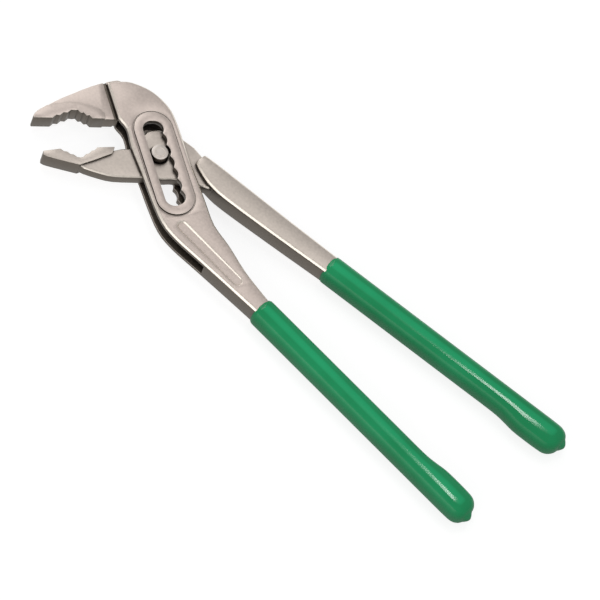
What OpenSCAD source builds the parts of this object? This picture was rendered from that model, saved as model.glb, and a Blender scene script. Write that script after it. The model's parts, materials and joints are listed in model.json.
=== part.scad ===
// Slip joint pliers with a box joint. The inner lever passes through a slit
// in the outer lever and turns on a pin that slides along a notched slot.
// The tool lies flat: X runs toward the handle ends, Z is up, and the origin
// is under the middle of the whole tool, on the surface that it rests on.

/* [Joint] */
// Angle between the slot and the long axis of the tool
slot_angle = 32.5; // [31:0.5:34]
// Diameter of the pivot pin
pin_d = 7.2; // [6.6:0.1:7.4]
// Radial running clearance of the inner lever on the pin
pin_clear = 0.05; // [0.03:0.01:0.08]
// Number of notches along the slot
notch_count = 7; // [5:1:7]
// Notch beside which the pin stands, counted from the jaw end
rest_notch = 3; // [2:1:3]
// Distance from one notch to the next
notch_pitch = 5.4; // [4.8:0.1:5.6]
// Depth of a notch beyond the free lane
notch_depth = 0.9; // [0.5:0.1:1.2]
// Gap between the pin and the crests between the notches
crest_clear = 0.1; // [0.05:0.05:0.2]
// Gap between the pin and the smooth wall of the slot
wall_clear = 0.5; // [0.3:0.1:0.8]
// Depth of the pin's ends below the faces of the joint
pin_sink = 0.3; // [0.1:0.1:0.6]
// Chamfer at the pin's ends
pin_chamfer = 0.4; // [0.2:0.1:0.8]

/* [Box] */
// Thickness of the box, over both cheeks
box_t = 10.6; // [9.8:0.1:12]
// Height of the racetrack boss around the slot
boss_h = 0.5; // [0.3:0.1:0.8]
// Width of the racetrack boss around the slot
boss_w = 3.8; // [3:0.1:4.2]
// Width of the groove around the boss
groove_w = 0.5; // [0.3:0.1:0.7]
// Depth of the groove around the boss
groove_depth = 0.25; // [0.15:0.05:0.4]
// Width of the undercut beside the crown's step
undercut_w = 1.1; // [0.6:0.1:1.5]
// Depth of the undercut, below the jaw's flank
undercut_depth = 0.8; // [0.4:0.1:1]
// Reach of the box beside the slot, on the handles' side
box_right = 11.6; // [11:0.1:12.5]
// Reach of the box beside the slot, on the jaws' side
box_left = 12.6; // [12:0.1:13.5]
// Wall of the box between the slot's end and the upper jaw's face
root_wall = 4.3; // [3.5:0.1:5.5]
// Height of the head above the upper jaw's face, along the slot
crown_h = 17; // [15:0.5:19]
// Gap on each side of the inner lever in the slit
web_clear = 0.15; // [0.1:0.05:0.3]

/* [Jaws] */
// Angle between the upper jaw's face and the long axis of the tool
jaw_angle = 46; // [44:0.5:48]
// Length of the upper jaw's face
upper_len = 35.3; // [32:0.5:38]
// Length of the lower jaw's face
lower_len = 30.3; // [28:0.5:33]
// Thickness of the jaws
jaw_t = 8; // [7.4:0.1:8.8]
// Step from the upper jaw's flank up to its working pad
pad_step = 0.7; // [0.3:0.1:0.9]
// Distance between teeth
tooth_pitch = 2.6; // [2:0.1:3.2]
// Depth of the teeth
tooth_h = 0.8; // [0.5:0.1:1]

/* [Levers] */
// Thickness of the inner lever where it passes through the slit
web_t = 5.6; // [5:0.1:6]
// Thickness of both handle bars at their grips
bar_t = 9.9; // [9:0.1:10.3]
// Width of the outer lever's bar at its grip
outer_bar_w = 8.2; // [7.6:0.1:8.8]
// Width of the inner lever's bar at its grip
inner_bar_w = 9.2; // [8.4:0.1:9.6]
// Angle of each handle to the long axis of the tool
bar_angle = 4.3; // [4:0.1:5]
// Distance of the outer handle's axis below the pin
outer_drop = 16.8; // [16.4:0.1:17.4]
// Distance of the inner handle's axis above the pin
inner_rise = 7.1; // [6.8:0.1:7.8]
// Width of the bevel along the levers' edges
edge_bevel = 1; // [0.6:0.1:1.2]
// Depth of the outer handle's long recess, below the faces of the bar
recess_depth = 0.4; // [0.2:0.1:0.7]

/* [Grips] */
// Distance from the pin to the mouth of the outer grip
outer_grip_at = 76; // [74:1:82]
// Distance from the pin to the mouth of the inner grip
inner_grip_at = 83; // [80:1:88]
// Length of each grip, without its nib
grip_len = 121; // [105:1:135]
// Width of each grip
grip_w = 11.7; // [11.4:0.1:13]
// Height of the swelling on the inner side near a grip's end
grip_swell = 1.8; // [0.5:0.1:2.5]
// Grip left beyond the end of the bar inside it
grip_cap = 6; // [4:0.5:9]
// Diameter of the drip nib at the end of a grip
nib_d = 4.4; // [3:0.1:5.5]
// Length of the drip nib
nib_len = 1.8; // [1:0.1:3]

/* [Hidden] */
$fn = 64;
// Overrun of every cut, and the little by which two shapes lap where they meet
cut = 1;
lap = 0.1;
steel = [0.76, 0.73, 0.70];
pin_steel = [0.68, 0.66, 0.64];
grip_green = [0.07, 0.50, 0.33];

// The tool is the same on both sides of this height, and the boss rests at zero
mid_z = box_t / 2 + boss_h;
slit_t = web_t + 2 * web_clear;

// The slot, in a frame at the pin with S along the slot and N across it
pin_r = pin_d / 2;
bore_r = pin_r + pin_clear;
slot_near = -(rest_notch - 1) * notch_pitch;
slot_far = (notch_count - rest_notch) * notch_pitch;
lane_left = pin_r + wall_clear;
lane_right = pin_r + crest_clear;
lane_r = (lane_left + lane_right) / 2;
lane_n = (lane_right - lane_left) / 2;
notch_r = lane_right;
boss_r = lane_r + notch_depth / 2 + boss_w;
boss_n = lane_n + notch_depth / 2;
root_s = slot_near - lane_r - root_wall;

// The head from the crown to the upper jaw's root: shares of its height and of the box's
// reach for the right edge, and of its height for the step on the left
crown_shares = [[0.985, -0.96, 0.985], [0.965, -0.53, 0.84], [0.9, -0.18, 0.68], [0.68, 0.29, 0.5],
    [0.42, 0.62, 0.28], [0.06, 0.885, 0]];
// The box beside the slot, as shares of the distance to the jaw's root or to the last
// notch, and of the box's reach: left edge, then right edge
box_near_shares = [[0.7, -0.83, 0.76, 0.975], [0.24, -0.87, 0.32, 1]];
box_far_shares = [[0.37, -0.8, 0.32, 1.01], [0.93, -0.76, 0.79, 1.06]];
// The root of the outer handle, as shares of the distance to its grip and of the bar's
// width: left edge, then right edge, then the share of the taper from box to bar
outer_root_shares = [[0.295, -0.67, 0.366, 1.89, 0], [0.416, -0.8, 0.49, 1.35, 0.25],
    [0.58, -0.715, 0.63, 1.12, 0.5], [0.75, -0.622, 0.79, 0.75, 0.75], [0.895, -0.549, 0.92, 0.58, 0.95],
    [1, -0.5, 1, 0.5, 1]];
// The shoulder and bar of the inner lever, as shares of the distance to its grip and of the
// bar's width: lower edge, then upper edge, then the share of the taper from box to bar
shoulder_shares = [[0.163, 0.113, 0.173, 0.557, -0.3], [0.168, -0.08, 0.19, 0.576, -0.3],
    [0.234, -0.38, 0.24, 0.587, -0.3], [0.296, -0.55, 0.31, 0.58, -0.3], [0.4, -0.64, 0.42, 0.562, -0.1],
    [0.7, -0.59, 0.7, 0.525, 0.6], [1, -0.5, 1, 0.5, 1]];
// Long recess of the outer handle: ends as shares of the distance to the grip, and half of
// its floor's width as a share of the bar's width
recess_shares = [0.385, 0.81, 0.21];
// Ends of the slit: near the jaw's root, and across the outer handle's root
slit_near_shares = [[0.9, -1.6], [0.98, -1], [1.2, -0.55], [1.28, 0], [1.17, 0.8], [0.8, 1.3]];
slit_far_shares = [[0.3, 4], [0.62, 2.6], [0.63, -1.4], [0.2, -2.4]];
// Shares of the upper jaw's length and of the crown's height, from the tip along the back
upper_back_shares = [[1, 0], [1, 0.07], [0.95, 0.2], [0.825, 0.365], [0.675, 0.545], [0.5, 0.715],
    [0.275, 0.92], [0.06, 1.055], [-0.1, 1.06], [-0.3, 0.6]];
// Shares of the upper jaw's length and of the crown's height, around the working pad
upper_pad_shares = [[0.15, -0.1], [0.15, 0.16], [0.18, 0.245], [0.24, 0.31], [0.35, 0.385], [0.465, 0.44],
    [0.57, 0.435], [0.78, 0.37], [1.1, 0.3], [1.1, -0.1]];
// Ends and apex of the hollow in a jaw, as shares of the upper and the lower face
upper_hollow_shares = [0.3, 0.5, 0.775];
lower_hollow_shares = [0.245, 0.5, 0.757];
// Depth of each hollow, and the lower jaw's share of the teeth's depth
upper_hollow = 3.7;
lower_hollow = 4.4;
lower_tooth_share = 0.65;
// Place of the lower jaw's pad beside the pin, and its turn from the upper jaw
lower_at = [-15, -11.15];
lower_turn = 3;
// Shares of the lower jaw's length and of the pad's depth, along the pad's lower edge
pad_depth = 8;
lower_back_shares = [[1, -0.1], [1.01, -0.32], [0.965, -0.44], [0.85, -0.6], [0.72, -0.76], [0.525, -1],
    [0.3, -0.73], [0.05, -0.4], [0.02, -0.2]];

// The arm under the lower pad, as shares of the lower jaw's length and of the pad's depth
arm_shares = [[0.03, -0.13], [0.2, -0.13], [0.5, -0.62], [0.8, -0.13], [0.97, -0.13], [0.98, -0.32],
    [0.95, -0.43], [0.85, -0.58], [0.72, -0.74], [0.525, -0.98]];
// The hub, in polar shares about the pin: angle, and share of the hub's radius
hub_r = 12;
hub_low_shares = [[238, 2.72], [244, 2.34], [254, 1.85], [282, 1.08], [319, 0.95], [335, 0.99], [347, 1.12]];
hub_high_shares = [[60, 1.34], [80, 1.13], [104, 1.01], [128, 1], [141, 1], [153, 1], [166, 0.92],
    [180, 0.83], [194, 0.79], [209, 0.93], [215, 1.28]];
// The root of the inner handle's web, as shares of the distance to the grip and of the bar's width
web_root_shares = [[0.225, -0.87], [0.29, -0.62], [0.4, -0.36], [0.4, 0.36], [0.29, 0.48], [0.176, 0.51]];
// Sides of a grip, the exponent that squares its section, and its profile: shares of its
// length, of its width and of its swelling
grip_sides = 24;
grip_square = 0.78;
grip_shares = [[0, 0.86, 0], [0.006, 0.95, 0], [0.018, 1, 0], [0.4, 1, 0], [0.74, 1, 0], [0.79, 1, 0.3],
    [0.84, 1, 0.9], [0.9, 1, 1], [0.955, 0.99, 0.95], [0.98, 0.9, 0.75], [0.993, 0.7, 0.5], [1, 0.42, 0.2]];

function turned(p, a) = [p.x * cos(a) - p.y * sin(a), p.x * sin(a) + p.y * cos(a)];
function slot_pt(p) = turned(p, -slot_angle);
function upper_pt(p) = slot_pt([root_s, -box_left]) + turned([p.x, -p.y], 180 + jaw_angle);
function lower_pt(p) = lower_at + turned([p.x, -p.y], 180 + jaw_angle + lower_turn);
function outer_pt(p) = [0, -outer_drop] + turned(p, -bar_angle);
function inner_pt(p) = [0, inner_rise] + turned(p, bar_angle);
function scaled(list, a, b) = [for (p = list) [p.x * a, p.y * b]];
function reversed(list) = [for (i = [len(list) - 1:-1:0]) list[i]];

// A smooth curve through the points, with n steps between neighbours
function blend(a, b, c, d, t) =
    (2 * b + (c - a) * t + (2 * a - 5 * b + 4 * c - d) * t * t + (3 * b - a - 3 * c + d) * t * t * t) / 2;
function smooth(list, n) = [
    for (i = [0:len(list) - 2])
        for (j = [0:n - 1])
            blend(list[max(i - 1, 0)], list[i], list[i + 1], list[min(i + 2, len(list) - 1)], j / n),
    list[len(list) - 1]
];

// Teeth cut into the straight flank from a to b, as deep as the vector up
function toothed(a, b, up) =
    let (count = max(1, floor(norm(b - a) / tooth_pitch)))
    [for (i = [0:count - 1]) for (half = [0, 0.5])
        a + (b - a) * (i + half) / count + (half > 0 ? up : [0, 0])];

// A jaw's working face from root to tip: flat, two toothed flanks and flat again
function face_pts(length, hollow_shares, depth, tooth) =
    let (start = [length * hollow_shares[0], 0], apex = [length * hollow_shares[1], depth])
    let (end = [length * hollow_shares[2], 0])
    concat([[0, 0]], toothed(start, apex, [0, tooth]), toothed(apex, end, [0, tooth]), [end]);

module prism(points, t) {
    translate([0, 0, mid_z - t / 2])
        linear_extrude(t)
            polygon(points);
}

// A bevelled strip through stations of [left edge, right edge, thickness]
module strip(stations, bevel) {
    function ring(st) =
        let (a = st[0], b = st[1], h = st[2] / 2)
        let (c = min(bevel, norm(b - a) / 3), d = (b - a) / norm(b - a) * c)
        [[a.x + d.x, a.y + d.y, -h], [a.x, a.y, c - h], [a.x, a.y, h - c], [a.x + d.x, a.y + d.y, h],
         [b.x - d.x, b.y - d.y, h], [b.x, b.y, h - c], [b.x, b.y, c - h], [b.x - d.x, b.y - d.y, -h]];
    rings = [for (st = stations) ring(st)];
    sides = len(rings[0]);
    last = len(rings) - 1;
    faces = concat(
        [[for (j = [0:sides - 1]) sides - 1 - j]],
        [[for (j = [0:sides - 1]) last * sides + j]],
        [for (i = [0:last - 1]) for (j = [0:sides - 1])
            let (k = (j + 1) % sides) [i * sides + j, (i + 1) * sides + k, (i + 1) * sides + j]],
        [for (i = [0:last - 1]) for (j = [0:sides - 1])
            let (k = (j + 1) % sides) [i * sides + j, i * sides + k, (i + 1) * sides + k]]
    );
    translate([0, 0, mid_z])
        polyhedron([for (r = rings) for (p = r) p], faces);
}

// A closed stadium between two places on the slot's lane
module stadium(from_s, to_s, n, r, t) {
    for (s = [from_s, to_s])
        translate([s, n, mid_z - t / 2])
            cylinder(r = r, h = t);
    translate([from_s, n - r, mid_z - t / 2])
        cube([to_s - from_s, 2 * r, t]);
}

module in_frame() {
    translate(pin_at)
        children();
}

module slot_frame() {
    rotate(-slot_angle)
        children();
}

// The room for the bar in its grip, with eight sides as the bar has
module grip_hollow(width) {
    w = width / 2;
    h = bar_t / 2;
    c = edge_bevel;
    low = [[-w, c - h], [c - w, -h], [w - c, -h], [w, c - h]];
    high = [[w, h - c], [w - c, h], [c - w, h], [-w, h - c]];
    translate([-cut, 0, mid_z])
        rotate([90, 0, 90])
            linear_extrude(grip_len - grip_cap + cut)
                polygon(concat(low, high));
}

// Edges of the outer lever from the crown to the grip
outer_stations = concat(
    [for (c = crown_shares) [
        slot_pt([root_s - crown_h * c[2], -box_left]),
        slot_pt([root_s - crown_h * c[0], box_right * c[1]]), box_t]],
    [for (b = box_near_shares) [
        slot_pt([root_s * b[0], box_left * b[1]]), slot_pt([root_s * b[2], box_right * b[3]]), box_t]],
    [for (b = box_far_shares) [
        slot_pt([slot_far * b[0], box_left * b[1]]), slot_pt([slot_far * b[2], box_right * b[3]]), box_t]],
    [for (r = outer_root_shares) [
        outer_pt([outer_grip_at * r[0], outer_bar_w * r[1]]),
        outer_pt([outer_grip_at * r[2], outer_bar_w * r[3]]),
        box_t + (bar_t - box_t) * r[4]]]
);
// Edges of the inner lever's bar from the shoulder to the grip
inner_stations = [for (r = shoulder_shares) [
    inner_pt([inner_grip_at * r[0], inner_bar_w * r[1]]),
    inner_pt([inner_grip_at * r[2], inner_bar_w * r[3]]),
    box_t + (bar_t - box_t) * r[4]]];

// Ends of the bars, inside the grips
outer_end_x = outer_grip_at + grip_len - grip_cap;
inner_end_x = inner_grip_at + grip_len - grip_cap;
outer_end = [outer_pt([outer_end_x, -outer_bar_w / 2]), outer_pt([outer_end_x, outer_bar_w / 2]), bar_t];
inner_end = [inner_pt([inner_end_x, -inner_bar_w / 2]), inner_pt([inner_end_x, inner_bar_w / 2]), bar_t];

function smooth_stations(list, n) =
    let (a = smooth([for (s = list) s[0]], n), b = smooth([for (s = list) s[1]], n))
    let (t = smooth([for (s = list) [s[2], 0]], n))
    [for (i = [0:len(a) - 1]) [a[i], b[i], t[i].x]];

// The pin's place in the part's frame, from the tool's reach at the jaws and at the grips
low_end = [upper_pt([upper_len, 0]).x, outer_pt([outer_grip_at + grip_len, -grip_w / 2]).y];
high_end = inner_pt([inner_grip_at + grip_len, grip_w / 2]) + [nib_len, 0];
pin_at = -(low_end + high_end) / 2;

upper_face = face_pts(upper_len, upper_hollow_shares, upper_hollow, tooth_h);
upper_back = smooth(scaled(upper_back_shares, upper_len, crown_h), 3);
lower_face = face_pts(lower_len, lower_hollow_shares, -lower_hollow, -tooth_h * lower_tooth_share);
lower_back = scaled(lower_back_shares, lower_len, pad_depth);

module upper_jaw() {
    outline = [for (p = concat(upper_face, upper_back)) upper_pt(p)];
    pad = [for (p = scaled(upper_pad_shares, upper_len, crown_h)) upper_pt(p)];
    prism(outline, jaw_t - 2 * pad_step);
    intersection() {
        prism(outline, jaw_t);
        prism(pad, jaw_t + 2 * cut);
    }
}

// The slit that the inner lever passes through
module slit() {
    near_end = [for (p = slit_near_shares) slot_pt([root_s * p.x, box_left * p.y])];
    far_end = [for (p = slit_far_shares) outer_pt([outer_grip_at * p.x, outer_bar_w * p.y])];
    prism(concat(near_end, far_end), slit_t);
}

module slot() {
    t = 2 * mid_z + 2 * cut;
    slot_frame() {
        stadium(slot_near, slot_far, lane_n, lane_r, t);
        for (i = [0:notch_count - 1])
            translate([slot_near + i * notch_pitch, notch_depth, -cut])
                cylinder(r = notch_r, h = t);
    }
}

// Grooves around the boss, in both faces of the box
module boss_groove() {
    slot_frame()
        difference() {
            stadium(slot_near, slot_far, boss_n, boss_r + groove_w, 2 * mid_z);
            stadium(slot_near, slot_far, boss_n, boss_r, 2 * mid_z + 2 * cut);
            stadium(slot_near, slot_far, boss_n, boss_r + 2 * groove_w, box_t - 2 * groove_depth);
        }
}

// Undercut in both flanks of the upper jaw, along the crown's step
module undercut() {
    floor_z = jaw_t / 2 - pad_step - undercut_depth;
    slot_frame()
        for (side = [0, 1])
            translate([root_s - crown_h - cut, -box_left - undercut_w, mid_z])
                mirror([0, 0, side])
                    translate([0, 0, floor_z])
                        cube([crown_h + 2 * cut, undercut_w + lap, box_t]);
}

// A trough with sloping walls and round ends, from x = 0 to x = run
module trough(run, half_w, h) {
    for (x = [0, run])
        translate([x, 0, 0])
            cylinder(r1 = half_w, r2 = half_w + h, h = h);
    rotate([90, 0, 90])
        linear_extrude(run)
            polygon([[-half_w, 0], [half_w, 0], [half_w + h, h], [-half_w - h, h]]);
}

// Long shallow recess in both faces of the outer handle
module recess() {
    from_x = outer_grip_at * recess_shares[0];
    to_x = outer_grip_at * recess_shares[1];
    half_w = outer_bar_w * recess_shares[2];
    translate([0, -outer_drop, mid_z])
        rotate(-bar_angle)
            for (side = [0, 1])
                mirror([0, 0, side])
                    translate([from_x, 0, bar_t / 2 - recess_depth])
                        trough(to_x - from_x, half_w, 2 * cut);
}

module outer_lever() {
    color(steel) in_frame()
        difference() {
            union() {
                strip(concat(smooth_stations(outer_stations, 3), [outer_end]), edge_bevel);
                upper_jaw();
                slot_frame()
                    stadium(slot_near, slot_far, boss_n, boss_r, 2 * mid_z);
            }
            slit();
            slot();
            boss_groove();
            undercut();
            recess();
        }
}

// The thin part of the inner lever: arm, hub and the root of its handle
module web() {
    arm = [for (p = scaled(arm_shares, lower_len, pad_depth)) lower_pt(p)];
    hub_low = [for (p = hub_low_shares) turned([hub_r * p[1], 0], p[0])];
    root = [for (p = web_root_shares) inner_pt([inner_grip_at * p.x, inner_bar_w * p.y])];
    hub_high = [for (p = hub_high_shares) turned([hub_r * p[1], 0], p[0])];
    prism(concat(arm, smooth(hub_low, 3), root, smooth(hub_high, 3)), web_t);
}

module inner_lever() {
    color(steel) in_frame()
        difference() {
            union() {
                web();
                prism([for (p = concat(lower_face, lower_back)) lower_pt(p)], jaw_t);
                strip(concat(smooth_stations(inner_stations, 3), [inner_end]), edge_bevel);
            }
            cylinder(r = bore_r, h = 2 * mid_z);
        }
}

module pivot_pin() {
    half = mid_z - pin_sink;
    profile = [[0, -half], [pin_r - pin_chamfer, -half], [pin_r, pin_chamfer - half],
        [pin_r, half - pin_chamfer], [pin_r - pin_chamfer, half], [0, half]];
    color(pin_steel) in_frame()
        translate([0, 0, mid_z])
            rotate_extrude()
                polygon(profile);
}

// A dipped grip with its mouth at x = 0; side is the Y direction that faces the other handle
module grip(width, side) {
    function bend(p) = p < 0 ? -1 : 1;
    function ring(g) =
        let (x = grip_len * g[0], f = min(g[1], 1), w = grip_w / 2 * f, h = mid_z * f)
        let (swell = grip_swell * g[2])
        [for (i = [0:grip_sides - 1])
            let (a = 360 * i / grip_sides, c = bend(cos(a)) * pow(abs(cos(a)), grip_square))
            let (s = bend(sin(a)) * pow(abs(sin(a)), grip_square))
            [x, side * (c > 0 ? c * (w + swell) : c * w), mid_z + h * s]];
    rings = [for (g = smooth(grip_shares, 2)) ring(g)];
    last = len(rings) - 1;
    n = grip_sides;
    near_cap = [[for (j = [0:n - 1]) n - 1 - j]];
    far_cap = [[for (j = [0:n - 1]) last * n + j]];
    wall = [for (i = [0:last - 1]) for (j = [0:n - 1]) for (half = [0, 1])
        let (k = (j + 1) % n)
        half == 0 ? [i * n + j, i * n + k, (i + 1) * n + k] : [i * n + j, (i + 1) * n + k, (i + 1) * n + j]];
    faces = concat(near_cap, far_cap, wall);
    difference() {
        union() {
            polyhedron([for (r = rings) for (p = r) p], side < 0 ? faces : [for (f = faces) reversed(f)]);
            translate([grip_len - nib_d, 0, mid_z])
                rotate([0, 90, 0])
                    cylinder(d = nib_d, h = nib_d + nib_len);
        }
        grip_hollow(width);
    }
}

module outer_grip() {
    color(grip_green) in_frame()
        translate([0, -outer_drop, 0])
            rotate(-bar_angle)
                translate([outer_grip_at, 0, 0])
                    grip(outer_bar_w, 1);
}

module inner_grip() {
    color(grip_green) in_frame()
        translate([0, inner_rise, 0])
            rotate(bar_angle)
                translate([inner_grip_at, 0, 0])
                    grip(inner_bar_w, -1);
}

outer_lever();
inner_lever();
pivot_pin();
outer_grip();
inner_grip();
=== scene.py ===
"""Dresses the slip joint pliers: rounded steel levers, a turned pin, dipped grips and a small studio."""
import bmesh
import bpy
import json
import math

from bpy.props import FloatProperty, FloatVectorProperty, PointerProperty
from mathutils import Matrix, Vector


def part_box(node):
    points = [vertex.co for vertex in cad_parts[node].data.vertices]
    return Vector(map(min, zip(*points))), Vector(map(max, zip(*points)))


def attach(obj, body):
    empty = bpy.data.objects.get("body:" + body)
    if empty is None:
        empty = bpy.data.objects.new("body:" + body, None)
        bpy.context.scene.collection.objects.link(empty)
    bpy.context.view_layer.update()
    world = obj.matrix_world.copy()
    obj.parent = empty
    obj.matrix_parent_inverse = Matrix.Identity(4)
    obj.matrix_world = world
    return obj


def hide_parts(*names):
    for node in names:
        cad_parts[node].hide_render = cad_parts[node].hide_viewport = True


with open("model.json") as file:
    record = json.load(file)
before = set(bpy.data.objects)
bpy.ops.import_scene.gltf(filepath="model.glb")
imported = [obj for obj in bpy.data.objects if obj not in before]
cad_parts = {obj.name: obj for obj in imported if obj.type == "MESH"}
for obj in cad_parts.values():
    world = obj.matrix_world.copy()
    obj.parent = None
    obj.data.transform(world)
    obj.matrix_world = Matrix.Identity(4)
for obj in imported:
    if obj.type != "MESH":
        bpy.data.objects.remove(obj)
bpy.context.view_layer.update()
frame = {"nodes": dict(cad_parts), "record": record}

bl_info = {
    "name": "Slip Joint Pliers",
    "version": (1, 0, 0),
    "blender": (4, 5, 0),
    "location": "View3D > Sidebar > Pliers",
    "description": "Builds the visible pieces of the slip joint pliers over their CAD frame",
    "category": "Object",
}

MM = 0.001


def joint_named(name):
    """The frame's joint of that name."""
    return next(j for j in frame["record"]["behaviour"]["joints"] if j["name"] == name)


# The middle of the pin at rest, which lies in the tool's middle plane
PIN_AT = Vector(joint_named("lever_turn")["pos_m"])
MID_Z = PIN_AT.z
PIN_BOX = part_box("pivot_pin")
PIN_RADIUS = (PIN_BOX[1][0] - PIN_BOX[0][0]) / 2
PIN_HALF = (PIN_BOX[1][2] - PIN_BOX[0][2]) / 2
PIN_SIDES = 64
# The ring in the pin's end: shares of the pin's radius at its outer edge, its floor and its inner edge
PIN_RING = (0.62, 0.58, 0.54)
# The middle of the pin's chamfer: shares of the chamfer inward and down
PIN_CHAMFER_MIDDLE = (0.4, 0.25)

# Half thicknesses about the middle plane: the inner lever's arm, the slit that it passes through, the bars in the grips
WEB_HALF = 2.8 * MM
SLIT_HALF = 3.02 * MM
BAR_HALF = 4.95 * MM

# Outward bends from which an edge is rounded off, and from which it counts as the rim of the arm
ROUNDED_BEND = math.radians(30)
RIM_BEND = math.radians(60)
# Bends from which an edge shades as a sharp one
LEVER_SHARP = math.radians(32)
PIN_SHARP = math.radians(28)
GRIP_SHARP = math.radians(50)

# Each grip: its node, its body, the distance of its axis from the pin, where it begins, the side that swells, and the
# half width of the bar in it
GRIPS = (
    ("outer_grip", "outer", -16.8 * MM, 76 * MM, 1, 4.1 * MM),
    ("inner_grip", "inner", 7.1 * MM, 83 * MM, -1, 4.6 * MM),
)
# A grip's profile: shares of its length, of its width and of its swelling
GRIP_PROFILE = (
    (0, 0.86, 0), (0.003, 0.925, 0), (0.008, 0.965, 0), (0.018, 1, 0), (0.1, 1, 0), (0.25, 1, 0), (0.4, 1, 0),
    (0.6, 1, 0), (0.74, 1, 0), (0.79, 1, 0.3), (0.84, 1, 0.9), (0.9, 1, 1), (0.955, 0.985, 0.95), (0.975, 0.92, 0.8),
    (0.988, 0.79, 0.6), (0.996, 0.64, 0.4), (1, 0.5, 0.2),
)
PROFILE_STEPS = 3
# The drip at its end: shares of the drip's length and of its radius
NIB_PROFILE = ((0.1, 1.22), (0.45, 0.92), (0.8, 0.55), (1, 0.25))
# The hollow mouth: shares of the bar's size at its floor and at its edge, and the depth of that edge
MOUTH_FLOOR = 1.01
MOUTH_EDGE = 1.05
MOUTH_EDGE_DEPTH = 0.2 * MM
GRIP_SIDES = 64
# Power of the sine and cosine round a grip's section: 1 is an ellipse, and less is squarer
GRIP_SQUARE = 0.78

# How level a steel surface lies, as the size of its normal's Z: walls with their painted shade end, bevels with their
# painted highlight begin and end, flats begin
WALL_END, BEVEL_START, BEVEL_END, FLAT_START = 0.48, 0.64, 0.9, 0.985
# Samples of the shade in the corners
CORNER_SAMPLES = 8
BLACK, WHITE = (0, 0, 0), (1, 1, 1)

# Lamps: name, place, width, depth and brightness
LAMPS = (
    ("overhead", (-0.62, 0.4, 0.74), 0.45, 0.6, 2.0),
    ("ridge", (0.0, 0.24, 0.87), 0.04, 0.26, 20),
    ("low_front", (-0.14, -0.8, 0.45), 0.9, 0.45, 1.9),
)
# The floor: half its side, how far it lies under the tool, its paint, and its paint and glow where it is seen
FLOOR_HALF = 4
FLOOR_DROP = 0.2 * MM
FLOOR_PAINT, FLOOR_SEEN_PAINT, FLOOR_GLOW = 0.7, 0.3, 0.8
SENSOR_WIDTH = 36
CAMERA_REACH = 10


def linear(rgb):
    """An 8-bit screen colour as a linear one."""
    return tuple(c / 12.92 if c <= 0.04045 else ((c + 0.055) / 1.055) ** 2.4 for c in (v / 255 for v in rgb))


def length(name, default, description):
    """A length that the user can change, in metres."""
    return FloatProperty(name=name, default=default, description=description, min=0, unit="LENGTH", precision=5)


def angle(name, degrees, description):
    """An angle that the user can change."""
    return FloatProperty(name=name, default=math.radians(degrees), description=description, subtype="ANGLE")


def brightness(name, default, description):
    """A brightness that the user can change."""
    return FloatProperty(name=name, default=default, description=description, min=0)


def colour(name, rgb, description):
    """A colour that the user can change."""
    return FloatVectorProperty(
        name=name, default=linear(rgb), description=description, subtype="COLOR", size=3, min=0, max=1
    )


class PliersSizes(bpy.types.PropertyGroup):
    """Sizes of what the frame leaves to the visible pieces."""

    edge_round: length("Edge rounding", 0.3 * MM, "Rounding of the levers' ground edges")
    sliver: length("Shortest edge", 0.1 * MM, "Edges of the levers' faces below this length are closed up")
    web_bevel: length("Arm bevel", 0.7 * MM, "Bevel along the thin arm and the hub of the inner lever")
    pin_chamfer: length("Pin chamfer", 0.3 * MM, "Chamfer around each end of the pin")
    pin_ring: length("Pin ring depth", 0.08 * MM, "Depth of the turned ring in the pin's end")
    grip_length: length("Grip length", 121 * MM, "Length of each grip without its nib")
    grip_width: length("Grip width", 11.7 * MM, "Width of each grip")
    grip_swell: length("Grip swelling", 1.8 * MM, "Swelling on the side that faces the other handle")
    grip_angle: angle("Grip angle", 4.3, "Turn of each grip from X")
    lip: length("Lip", 1.5 * MM, "Depth of the hollow behind a grip's mouth")
    nib_diameter: length("Nib diameter", 4.4 * MM, "Diameter of the drip at a grip's end")
    nib_length: length("Nib length", 1.8 * MM, "Length of the drip at a grip's end")


class PliersFinish(bpy.types.PropertyGroup):
    """Colours of the finishes, painted highlight and painted shade among them."""

    flat: colour("Ground flats", (201, 188, 180), "Nickel on the outer lever's ground faces")
    # Painted shade: the inner lever's flats are a darker copy of the outer lever's nickel
    flat_inner_shaded: colour("Ground flats, inner", (196, 186, 177), "Nickel on the inner lever's ground faces")
    # The bevels' lighter nickel is a painted highlight as well as their polish
    bevel: colour("Bevels", (246, 236, 224), "Nickel on the polished bevels")
    # The walls' darker nickel is painted shade as well as their forged finish
    wall: colour("Side walls", (108, 101, 93), "Nickel on the forged side walls")
    # The slit's inside takes painted shade, which goes to black deep in the slit
    inside: colour("Inside", (112, 104, 95), "Unground steel inside the slit")
    pin: colour("Pin", (205, 197, 190), "Turned end of the pin")
    grip: colour("Grips", (8, 134, 80), "Dipped grips")
    # The grips' lighter colour is a painted sheen along their crests, mixed with random wear
    grip_sheen_and_wear: colour("Grip worn", (26, 166, 108), "Dipped grips where hands have polished them")


class PliersStage(bpy.types.PropertyGroup):
    """The camera and the light of the studio."""

    azimuth: angle("Azimuth", 18.394, "Camera's turn about Z")
    elevation: angle("Elevation", 59.905, "Camera's height angle")
    roll: angle("Roll", 24.921, "Camera's roll")
    distance: length("Distance", 2.46405, "From the camera to the point it looks at")
    lens: FloatProperty(name="Lens", default=360, description="Focal length", unit="CAMERA")
    aim: FloatVectorProperty(
        name="Aim", default=(0.005727, -0.0018, 0.0058), description="Point the camera looks at", subtype="XYZ", size=3
    )
    lamps: brightness("Lamps", 1, "Brightness of all the lamps")
    room: brightness("Room", 0.56, "Brightness of the room")


# Meshes


def add_piece(name, mesh, body, slot_name, *nodes):
    """Puts a mesh in the scene as the piece that stands for those nodes."""
    piece = bpy.data.objects.new(name, mesh)
    bpy.context.scene.collection.objects.link(piece)
    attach(piece, body)
    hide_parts(*nodes)


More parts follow.
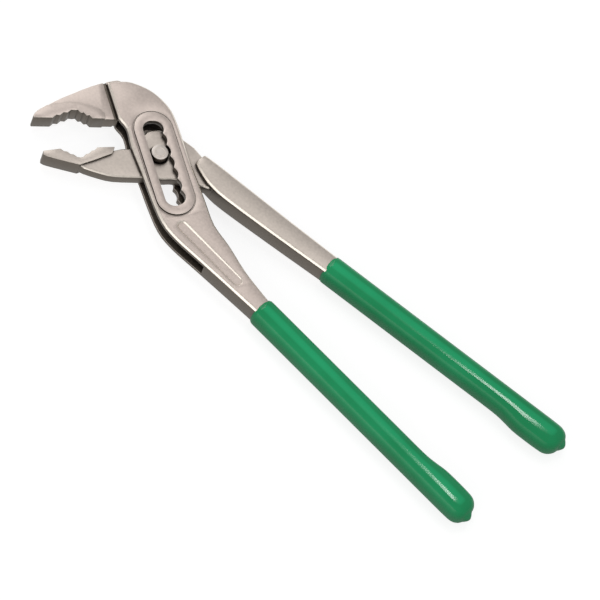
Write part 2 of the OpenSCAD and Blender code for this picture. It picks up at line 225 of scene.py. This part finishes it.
def mesh_from(bm, name, sharp):
    """Ends a bmesh as a mesh that shades smoothly over bends below that angle."""
    mesh = bpy.data.meshes.new(name)
    bmesh.ops.recalc_face_normals(bm, faces=bm.faces)
    for face in bm.faces:
        face.smooth = True
    for edge in bm.edges:
        edge.smooth = len(edge.link_faces) == 2 and edge.calc_face_angle(math.pi) < sharp
    bm.to_mesh(mesh)
    bm.free()
    return mesh


def sharp_edges(bm, bend):
    """The outward edges that bend by more than that angle."""
    return [e for e in bm.edges if len(e.link_faces) == 2 and e.calc_face_angle_signed(0) > bend]


def round_off(bm, edges, width, segments):
    """Bevels those edges."""
    bmesh.ops.bevel(
        bm,
        geom=edges,
        offset=width,
        offset_type="OFFSET",
        segments=segments,
        profile=0.5,
        affect="EDGES",
        clamp_overlap=False,
        miter_outer="SHARP",
    )


def rounded_copy(node, name, sizes):
    """A copy of a lever's CAD mesh with rounded edges, and the second material, with its painted shade, inside the
    outer lever's slit.
    """
    bm = bmesh.new()
    bm.from_mesh(frame["nodes"][node].data)
    bmesh.ops.remove_doubles(bm, verts=bm.verts, dist=sizes.sliver)
    if node == "inner_lever":
        rim = [
            e
            for e in sharp_edges(bm, RIM_BEND)
            if all(abs(abs(v.co.z - MID_Z) - WEB_HALF) < sizes.sliver for v in e.verts)
        ]
        round_off(bm, rim, sizes.web_bevel, 1)
    round_off(bm, sharp_edges(bm, ROUNDED_BEND), sizes.edge_round, 2)
    if node == "outer_lever":
        for face in bm.faces:
            if all(abs(v.co.z - MID_Z) < SLIT_HALF for v in face.verts):
                face.material_index = 1
    return mesh_from(bm, name, LEVER_SHARP)


def bridge(bm, rings):
    """Faces between neighbouring rings of vertices, where a ring may be a single one."""
    for low, high in zip(rings, rings[1:]):
        sides = max(len(low), len(high))
        for i in range(sides):
            k = (i + 1) % sides
            four = [low[i % len(low)], low[k % len(low)], high[k % len(high)], high[i % len(high)]]
            # At a single vertex the face has three corners
            bm.faces.new(list(dict.fromkeys(four)))


def lathe(profile, sides, centre):
    """A closed turned body about Z from (radius, height) pairs that begin and end on the axis."""
    bm = bmesh.new()
    rings = []
    for radius, height in profile:
        turns = [math.tau * i / sides for i in range(sides)] if radius else [0]
        ring = [Vector((radius * math.cos(a), radius * math.sin(a), height)) for a in turns]
        rings.append([bm.verts.new(centre + point) for point in ring])
    bridge(bm, rings)
    return bm


def curve_through(rows, steps):
    """A smooth curve through rows of numbers, with that many steps between neighbours."""
    out = []
    for i in range(len(rows) - 1):
        four = [rows[max(i - 1, 0)], rows[i], rows[i + 1], rows[min(i + 2, len(rows) - 1)]]
        for j in range(steps):
            t = j / steps
            out.append(
                [
                    (2 * b + (c - a) * t + (2 * a - 5 * b + 4 * c - d) * t**2 + (3 * b - a - 3 * c + d) * t**3) / 2
                    for a, b, c, d in zip(*four)
                ]
            )
    return out + [list(rows[-1])]


def squared(value):
    """A sine or cosine bent toward a square section."""
    return math.copysign(abs(value) ** GRIP_SQUARE, value)


def grip_rings(sizes, bar_half):
    """A grip's sections from its hollow mouth to its drip: place, half width, half height and swelling."""
    half = sizes.grip_width / 2
    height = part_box("outer_grip")[1][2] / 2
    nib = sizes.nib_diameter / 2
    mouth = ((sizes.lip, MOUTH_FLOOR), (MOUTH_EDGE_DEPTH, MOUTH_EDGE))
    rows = [(depth, bar_half * share, BAR_HALF * share, 0) for depth, share in mouth]
    for share, width, swell in curve_through(GRIP_PROFILE, PROFILE_STEPS):
        # The curve runs a little past full width between its rows
        width = min(width, 1)
        rows.append((share * sizes.grip_length, half * width, height * width, sizes.grip_swell * swell))
    rows += [(sizes.grip_length + sizes.nib_length * a, nib * b, nib * b, 0) for a, b in NIB_PROFILE]
    return rows


def grip_mesh(name, sizes, drop, start, side, bar_half):
    """A dipped grip over its bar: a hollow mouth, a squared body with its swelling, and a drip at the end."""
    bm = bmesh.new()
    rings = []
    for x, wide, high, swell in grip_rings(sizes, bar_half):
        ring = []
        for i in range(GRIP_SIDES):
            turn = math.tau * i / GRIP_SIDES
            across, rise = squared(math.cos(turn)), squared(math.sin(turn))
            y = side * across * (wide + (swell if across > 0 else 0))
            ring.append(bm.verts.new((x, y, high * rise)))
        rings.append(ring)
    bridge(bm, rings)
    bm.faces.new(rings[0])
    bm.faces.new(rings[-1])
    turned = Matrix.Rotation(sizes.grip_angle * -side, 4, "Z") @ Matrix.Translation((start, 0, 0))
    place = Matrix.Translation(PIN_AT + Vector((0, drop, 0))) @ turned
    bmesh.ops.transform(bm, matrix=place, verts=bm.verts)
    return mesh_from(bm, name, GRIP_SHARP)


# Materials


def grey(value):
    """The grey of that brightness."""
    return (value, value, value)


def material(name):
    """An empty node material, its nodes and its shader."""
    mat = bpy.data.materials.new(name)
    mat.use_nodes = True
    tree = mat.node_tree
    tree.nodes.clear()
    out = tree.nodes.new("ShaderNodeOutputMaterial")
    shader = tree.nodes.new("ShaderNodeBsdfPrincipled")
    tree.links.new(shader.outputs[0], out.inputs[0])
    return mat, tree, shader


def fill(tree, sockets, values):
    """Gives each socket its value: another socket, a number or a colour."""
    for socket, value in zip(sockets, values):
        if hasattr(value, "links"):
            tree.links.new(value, socket)
        elif isinstance(value, (int, float)):
            socket.default_value = value
        else:
            socket.default_value = (*value, 1)


def ramp(tree, source, stops):
    """A colour ramp over a value, from (place, colour) pairs."""
    node = tree.nodes.new("ShaderNodeValToRGB")
    tree.links.new(source, node.inputs[0])
    node.color_ramp.elements.remove(node.color_ramp.elements[1])
    node.color_ramp.elements[0].position = stops[0][0]
    node.color_ramp.elements[0].color = (*stops[0][1], 1)
    for place, rgb in stops[1:]:
        node.color_ramp.elements.new(place).color = (*rgb, 1)
    return node.outputs[0]


def maths(tree, operation, *values):
    """One sum on values that are sockets or numbers."""
    node = tree.nodes.new("ShaderNodeMath")
    node.operation = operation
    fill(tree, node.inputs, values)
    return node.outputs[0]


def mix(tree, share, a, b, blend="MIX"):
    """Two colours mixed."""
    node = tree.nodes.new("ShaderNodeMix")
    node.data_type = "RGBA"
    node.blend_type = blend
    fill(tree, (node.inputs[0], node.inputs[6], node.inputs[7]), (share, a, b))
    return node.outputs[2]


def darkened(tree, tone, *shades):
    """A colour multiplied by each shade in turn."""
    for shade in shades:
        tone = mix(tree, 1.0, tone, shade, "MULTIPLY")
    return tone


def noise(tree, scale, detail, stretch=(1, 1, 1)):
    """A noise over the object's own coordinates."""
    own = tree.nodes.new("ShaderNodeTexCoord")
    move = tree.nodes.new("ShaderNodeMapping")
    move.inputs["Scale"].default_value = stretch
    node = tree.nodes.new("ShaderNodeTexNoise")
    node.inputs["Scale"].default_value = scale
    node.inputs["Detail"].default_value = detail
    tree.links.new(own.outputs["Object"], move.inputs[0])
    tree.links.new(move.outputs[0], node.inputs["Vector"])
    return node.outputs[0]


def plain(tree, kind, value):
    """A shader of that kind in one grey."""
    node = tree.nodes.new(kind)
    fill(tree, node.inputs, (grey(value),))
    return node.outputs[0]


def levelness(tree):
    """How level the surface lies, from 0 on a wall to 1 on a flat."""
    surface = tree.nodes.new("ShaderNodeNewGeometry")
    split = tree.nodes.new("ShaderNodeSeparateXYZ")
    tree.links.new(surface.outputs["Normal"], split.inputs[0])
    return maths(tree, "ABSOLUTE", split.outputs[2])


def corners(tree, reach, stops):
    """A shade for the corners within that reach, from (openness, colour) pairs."""
    node = tree.nodes.new("ShaderNodeAmbientOcclusion")
    node.inputs["Distance"].default_value = reach
    node.samples = CORNER_SAMPLES
    return ramp(tree, node.outputs["AO"], stops)


def finish_surface(tree, shader, tone, rough, relief, strength, depth):
    """Gives the shader its colour, its roughness and a fine relief."""
    bump = tree.nodes.new("ShaderNodeBump")
    bump.inputs["Strength"].default_value = strength
    bump.inputs["Distance"].default_value = depth
    tree.links.new(relief, bump.inputs["Height"])
    tree.links.new(tone, shader.inputs["Base Color"])
    tree.links.new(rough, shader.inputs["Roughness"])
    tree.links.new(bump.outputs[0], shader.inputs["Normal"])


def steel(name, flat, bevel, wall, reach=1.6 * MM, deep=0.15, unshaded=0.92):
    """Nickelled steel: ground flats, bevels lighter by a painted highlight as well as their polish, walls darker by
    painted shade as well as their forged finish, and painted shade that far into the corners.

    The painted shade in the corners is full where the surface is open by less than `deep`, and gone where it is open by
    more than the last argument.
    """
    mat, tree, shader = material(name)
    grain = noise(tree, scale=900, detail=4)
    cloud = noise(tree, scale=60, detail=2)
    # Tones by how level the surface lies: painted shade on the walls as well as their forged finish, and a painted
    # highlight on the bevels as well as their polish
    slopes = [(WALL_END, wall), (BEVEL_START, bevel), (BEVEL_END, bevel), (FLAT_START, flat)]
    tone = darkened(
        tree,
        ramp(tree, levelness(tree), slopes),
        ramp(tree, grain, [(0.3, grey(0.86)), (0.7, WHITE)]),
        ramp(tree, cloud, [(0.35, grey(0.94)), (0.65, WHITE)]),
        # Painted shade in the corners
        corners(tree, reach, [(deep, (0.1, 0.09, 0.08)), (unshaded, WHITE)]),
    )
    shader.inputs["Metallic"].default_value = 1
    rough = maths(tree, "MULTIPLY_ADD", grain, 0.12, 0.36)
    finish_surface(tree, shader, tone, rough, relief=grain, strength=0.25, depth=0.02 * MM)
    return mat


def dipped(name, base, light):
    """Glossy dipped plastic: a painted sheen mixed with random wear along its crests, matt sides darkened by painted
    shade, and painted shade near the floor and in corners.
    """
    mat, tree, shader = material(name)
    level = levelness(tree)
    cloud = noise(tree, scale=45, detail=3)
    skin = noise(tree, scale=120, detail=2, stretch=(0.4, 1, 1))
    # A painted sheen on the grips' level tops
    sheen_crest = ramp(tree, level, [(0.985, BLACK), (1, WHITE)])
    sheen_and_wear = mix(tree, 0.35, sheen_crest, ramp(tree, cloud, [(0.35, BLACK), (0.7, WHITE)]))
    tone = darkened(
        tree,
        mix(tree, sheen_and_wear, base, light),
        # Painted shade near the floor and in corners
        corners(tree, 12 * MM, [(0.3, (0.4, 0.5, 0.5)), (0.85, WHITE)]),
        # Painted shade down the sides, darkest where they stand upright
        ramp(tree, level, [(0, (0.5, 0.55, 0.54)), (0.45, (0.76, 0.8, 0.79)), (0.8, WHITE)]),
    )
    matt = ramp(tree, level, [(0.6, grey(0.5)), (0.92, grey(0.09))])
    rough = maths(tree, "MULTIPLY_ADD", skin, 0.04, matt)
    shader.inputs["Specular IOR Level"].default_value = 0.32
    finish_surface(tree, shader, tone, rough, relief=skin, strength=0.01, depth=0.04 * MM)
    return mat


# Operators


class PLIERS_OT_levers(bpy.types.Operator):
    """Builds both steel levers with rounded edges"""

    bl_idname = "pliers.levers"
    bl_label = "Levers"

    def execute(self, context):
        sizes, finish = context.scene.pliers_sizes, context.scene.pliers_finish
        bright = steel("nickelled_steel", finish.flat, finish.bevel, finish.wall)
        # The slit's inside: a wall tone with painted shade that goes to black deep in the slit
        inside = steel("slit_steel_painted_shade", finish.inside, finish.inside, finish.inside, 9 * MM, 0.2, 0.5)
        # A darker copy of the nickel, as painted shade, for the inner lever
        inner_shaded = steel("inner_steel_painted_shade", finish.flat_inner_shaded, finish.bevel, finish.wall)
        for node, body, finishes in (
            ("outer_lever", "outer", (bright, inside)),
            ("inner_lever", "inner", (inner_shaded,)),
        ):
            mesh = rounded_copy(node, f"{node}_forging", sizes)
            for mat in finishes:
                mesh.materials.append(mat)
            add_piece(f"{node}_forging", mesh, body, "lever_steel", node)
        return {"FINISHED"}


class PLIERS_OT_pin(bpy.types.Operator):
    """Builds the turned pivot pin"""

    bl_idname = "pliers.pin"
    bl_label = "Pivot pin"

    def execute(self, context):
        sizes, finish = context.scene.pliers_sizes, context.scene.pliers_finish
        radius, half, chamfer = PIN_RADIUS, PIN_HALF, sizes.pin_chamfer
        inward, down = PIN_CHAMFER_MIDDLE
        ring_outer, ring_floor, ring_inner = (share * radius for share in PIN_RING)
        top = [
            (radius, half - chamfer),
            (radius - inward * chamfer, half - down * chamfer),
            (radius - chamfer, half),
            (ring_outer, half),
            (ring_floor, half - sizes.pin_ring),
            (ring_inner, half),
            (0, half),
        ]
        profile = [(a, -b) for a, b in reversed(top)] + top
        mesh = mesh_from(lathe(profile, PIN_SIDES, PIN_AT), "pin_turned", PIN_SHARP)
        mesh.materials.append(steel("turned_steel", finish.pin, finish.bevel, finish.wall))
        add_piece("pin_turned", mesh, "pin", "pin_steel", "pivot_pin")
        return {"FINISHED"}


class PLIERS_OT_grips(bpy.types.Operator):
    """Builds both dipped grips"""

    bl_idname = "pliers.grips"
    bl_label = "Grips"

    def execute(self, context):
        sizes, finish = context.scene.pliers_sizes, context.scene.pliers_finish
        mat = dipped("dipped_green", finish.grip, finish.grip_sheen_and_wear)
        for node, body, drop, start, side, bar_half in GRIPS:
            mesh = grip_mesh(f"{node}_dip", sizes, drop, start, side, bar_half)
            mesh.materials.append(mat)
            add_piece(f"{node}_dip", mesh, body, "grip_green", node)
        return {"FINISHED"}


class PLIERS_OT_studio(bpy.types.Operator):
    """Sets the floor, the light and the camera"""

    bl_idname = "pliers.studio"
    bl_label = "Studio"

    def execute(self, context):
        stage = context.scene.pliers_stage
        self.floor(context.scene)
        self.room(context.scene, stage.room)
        self.lamps(context.scene, stage.lamps)
        self.camera(context.scene, stage)
        return {"FINISHED"}

    def floor(self, scene):
        """A white floor under the tool, which keeps the tool's shadow."""
        bm = bmesh.new()
        bmesh.ops.create_grid(bm, x_segments=1, y_segments=1, size=FLOOR_HALF)
        floor = bpy.data.objects.new("floor", mesh_from(bm, "floor", LEVER_SHARP))
        scene.collection.objects.link(floor)
        mat = bpy.data.materials.new("floor_white")
        mat.use_nodes = True
        tree = mat.node_tree
        tree.nodes.clear()
        out = tree.nodes.new("ShaderNodeOutputMaterial")
        paint = plain(tree, "ShaderNodeBsdfDiffuse", FLOOR_PAINT)
        seen_paint = plain(tree, "ShaderNodeBsdfDiffuse", FLOOR_SEEN_PAINT)
        glow = plain(tree, "ShaderNodeEmission", FLOOR_GLOW)
        shown = tree.nodes.new("ShaderNodeAddShader")
        both = tree.nodes.new("ShaderNodeMixShader")
        ray = tree.nodes.new("ShaderNodeLightPath").outputs
        seen = maths(tree, "MAXIMUM", ray["Is Camera Ray"], ray["Is Glossy Ray"])
        seen = maths(tree, "MAXIMUM", seen, ray["Is Transmission Ray"])
        fill(tree, shown.inputs, (seen_paint, glow))
        fill(tree, both.inputs, (seen, paint, shown.outputs[0]))
        tree.links.new(both.outputs[0], out.inputs[0])
        floor.data.materials.append(mat)
        floor.location.z = -FLOOR_DROP

    def room(self, scene, strength):
        """An even pale room."""
        world = bpy.data.worlds.new("room")
        world.use_nodes = True
        scene.world = world
        fill(world.node_tree, world.node_tree.nodes["Background"].inputs, (WHITE, strength))

    def lamps(self, scene, power):
        """Soft lamps that look at the middle of the tool."""
        for name, place, wide, deep, bright in LAMPS:
            light = bpy.data.lights.new(name, "AREA")
            light.shape = "RECTANGLE"
            light.size, light.size_y = wide, deep
            # Pi watts a square metre make a lamp of brightness 1
            light.energy = power * bright * wide * deep * math.pi
            lamp = bpy.data.objects.new(name, light)
            lamp.location = place
            lamp.rotation_euler = (-lamp.location).to_track_quat("-Z", "Y").to_euler()
            scene.collection.objects.link(lamp)

    def camera(self, scene, stage):
        """The photograph's camera."""
        azimuth, elevation, roll = stage.azimuth, stage.elevation, stage.roll
        across = math.cos(elevation)
        forward = Vector((-math.sin(azimuth) * across, math.cos(azimuth) * across, -math.sin(elevation)))
        level = forward.cross(Vector((0, 0, 1))).normalized()
        upright = level.cross(forward)
        right = level * math.cos(roll) + upright * math.sin(roll)
        up = upright * math.cos(roll) - level * math.sin(roll)
        data = bpy.data.cameras.new("camera")
        data.lens = stage.lens
        data.sensor_width = SENSOR_WIDTH
        data.clip_end = CAMERA_REACH
        camera = bpy.data.objects.new("camera", data)
        turn = Matrix((right, up, -forward)).transposed().to_4x4()
        camera.matrix_world = Matrix.Translation(Vector(stage.aim) - forward * stage.distance) @ turn
        scene.collection.objects.link(camera)
        scene.camera = camera
        scene.view_settings.view_transform = "Standard"


STEPS = (PLIERS_OT_levers, PLIERS_OT_pin, PLIERS_OT_grips, PLIERS_OT_studio)
GROUPS = {"pliers_sizes": PliersSizes, "pliers_finish": PliersFinish, "pliers_stage": PliersStage}


class PLIERS_PT_panel(bpy.types.Panel):
    """Lists the sizes, the finishes and the steps of the pliers"""

    bl_idname = "PLIERS_PT_panel"
    bl_label = "Slip Joint Pliers"
    bl_space_type = "VIEW_3D"
    bl_region_type = "UI"
    bl_category = "Pliers"

    def draw(self, context):
        for group_name in GROUPS:
            group = getattr(context.scene, group_name)
            box = self.layout.box()
            for name in group.bl_rna.properties.keys():
                if name not in ("rna_type", "name"):
                    box.prop(group, name)
        for step in STEPS:
            self.layout.operator(step.bl_idname)


def register():
    for cls in (*GROUPS.values(), *STEPS, PLIERS_PT_panel):
        bpy.utils.register_class(cls)
    for name, group in GROUPS.items():
        setattr(bpy.types.Scene, name, PointerProperty(type=group))


def unregister():
    for name in GROUPS:
        delattr(bpy.types.Scene, name)
    for cls in (PLIERS_PT_panel, *reversed(STEPS), *reversed(GROUPS.values())):
        bpy.utils.unregister_class(cls)


def main():
    register()
    bpy.ops.pliers.levers()
    bpy.ops.pliers.pin()
    bpy.ops.pliers.grips()
    bpy.ops.pliers.studio()


if __name__ == "__main__":
    main()
